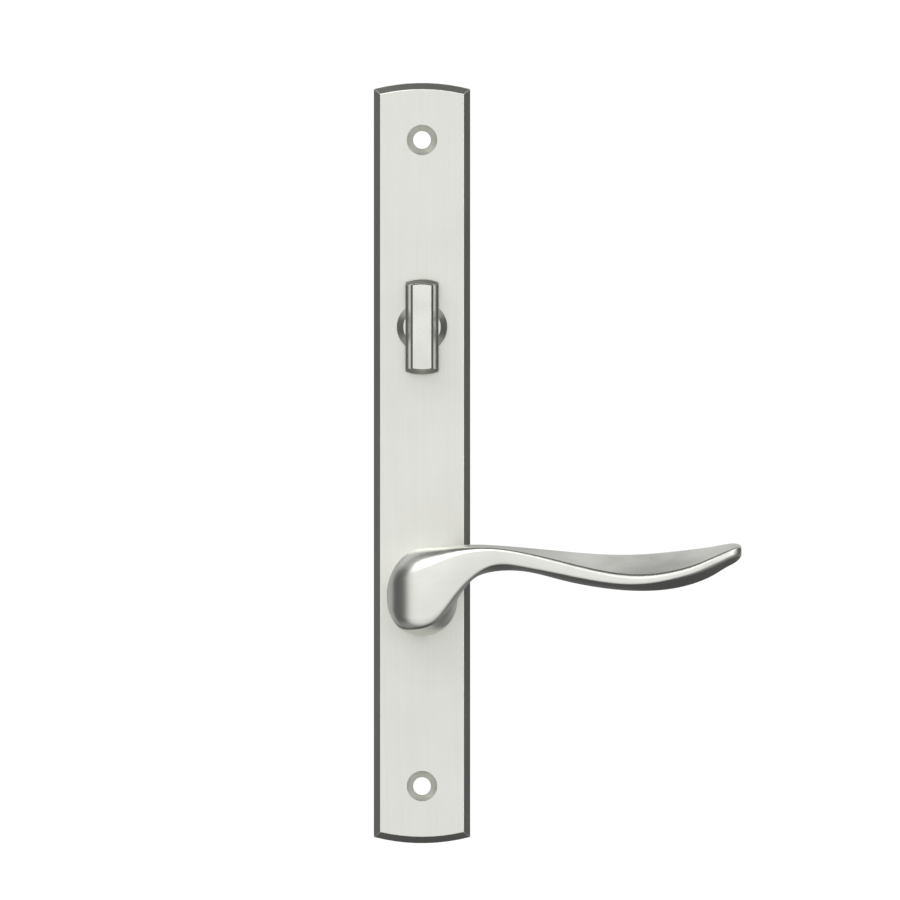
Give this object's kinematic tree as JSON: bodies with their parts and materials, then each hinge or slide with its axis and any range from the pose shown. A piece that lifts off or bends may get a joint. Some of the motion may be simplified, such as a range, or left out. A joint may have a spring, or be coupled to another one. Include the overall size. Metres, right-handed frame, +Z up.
{
  "type": "lever door handle with thumbturn on a long plate",
  "caption": "Lever handle on a tall narrow plate with arched ends, a thumbturn above it and countersunk fixing holes; works a lock's latch and bolts from one side of a door.",
  "frame": {"origin": "midway between the fixing holes, on the face that sits on the door", "axes": "+X right as seen from the front, +Y into the door, +Z up; the front faces -Y"},
  "size_m": [0.1243, 0.1199, 0.257],
  "materials": {
    "satin_nickel": "satin nickel plate on cast zinc",
    "plated_steel": "bright zinc plate on steel",
    "spring_steel": "oiled spring steel",
    "bearing_plastic": "moulded acetal"
  },
  "bodies": {
    "plate": {"escutcheon_plate": "satin_nickel", "lever_bush": "bearing_plastic", "lever_return_spring": "spring_steel", "spring_cover": "plated_steel", "cover_screws": "plated_steel", "turn_bush": "bearing_plastic", "turn_disc_spring": "spring_steel"},
    "lever": {"lever_handle": "satin_nickel", "lever_thrust_washer": "bearing_plastic", "spring_driver": "plated_steel", "lever_circlip": "spring_steel", "spindle": "plated_steel", "spindle_grub_screw": "spring_steel"},
    "turn": {"thumbturn": "satin_nickel", "turn_washer": "plated_steel", "turn_circlip": "spring_steel", "tailpiece": "plated_steel", "tailpiece_pin": "plated_steel"}
  },
  "joints": [
    {"name": "lever_swing", "type": "hinge", "parent": "plate", "child": "lever", "pos_m": [0, 0, -0.046], "axis": [0, 1, 0], "range_deg": [-40, 40], "stiffness_Nm_per_rad": 1.5, "springref_deg": -2.01, "deforming": ["lever_return_spring"]},
    {"name": "turn_lock", "type": "hinge", "parent": "plate", "child": "turn", "pos_m": [0, 0, 0.046], "axis": [0, -1, 0], "range_deg": [0, 90]}
  ]
}
